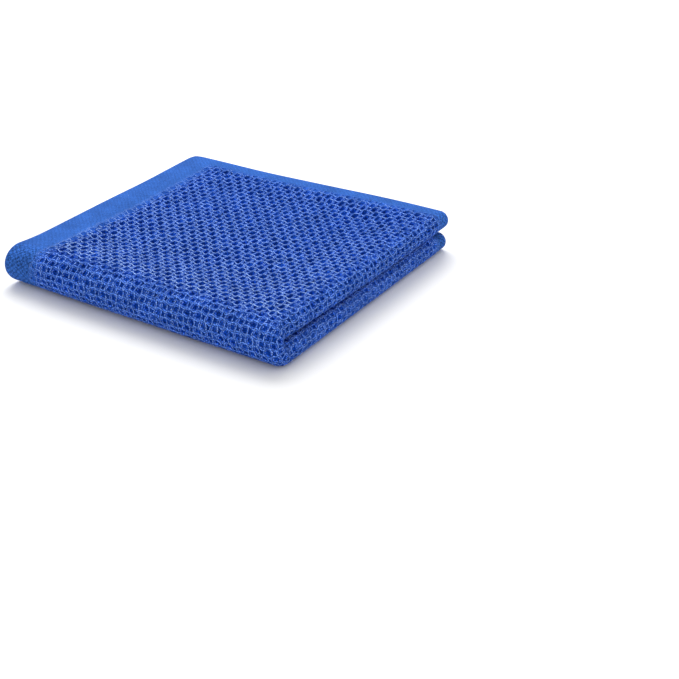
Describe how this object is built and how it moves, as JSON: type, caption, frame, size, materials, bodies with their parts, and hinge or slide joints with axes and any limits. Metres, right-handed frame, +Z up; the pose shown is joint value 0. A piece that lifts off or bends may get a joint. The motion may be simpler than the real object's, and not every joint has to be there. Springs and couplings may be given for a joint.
{
  "type": "dishcloth",
  "caption": "Square cotton waffle-weave cloth for washing and drying dishes, folded in quarters, with plain-woven borders and turned hems.",
  "frame": {"origin": "under the middle of the folded cloth, on the surface that it rests on", "axes": "+Z up, +X towards the first fold with its two rolled arms, -Y towards the second fold, whose roll holds all four layers; the open hems end at -X and at +Y"},
  "size_m": [0.1588, 0.1522, 0.021],
  "materials": {
    "cotton": "royal-blue honeycomb-woven cotton, deep soft pits between rounded ridges, smooth plain-woven borders"
  },
  "bodies": {
    "root": {"cloth": "cotton"}
  },
  "joints": []
}
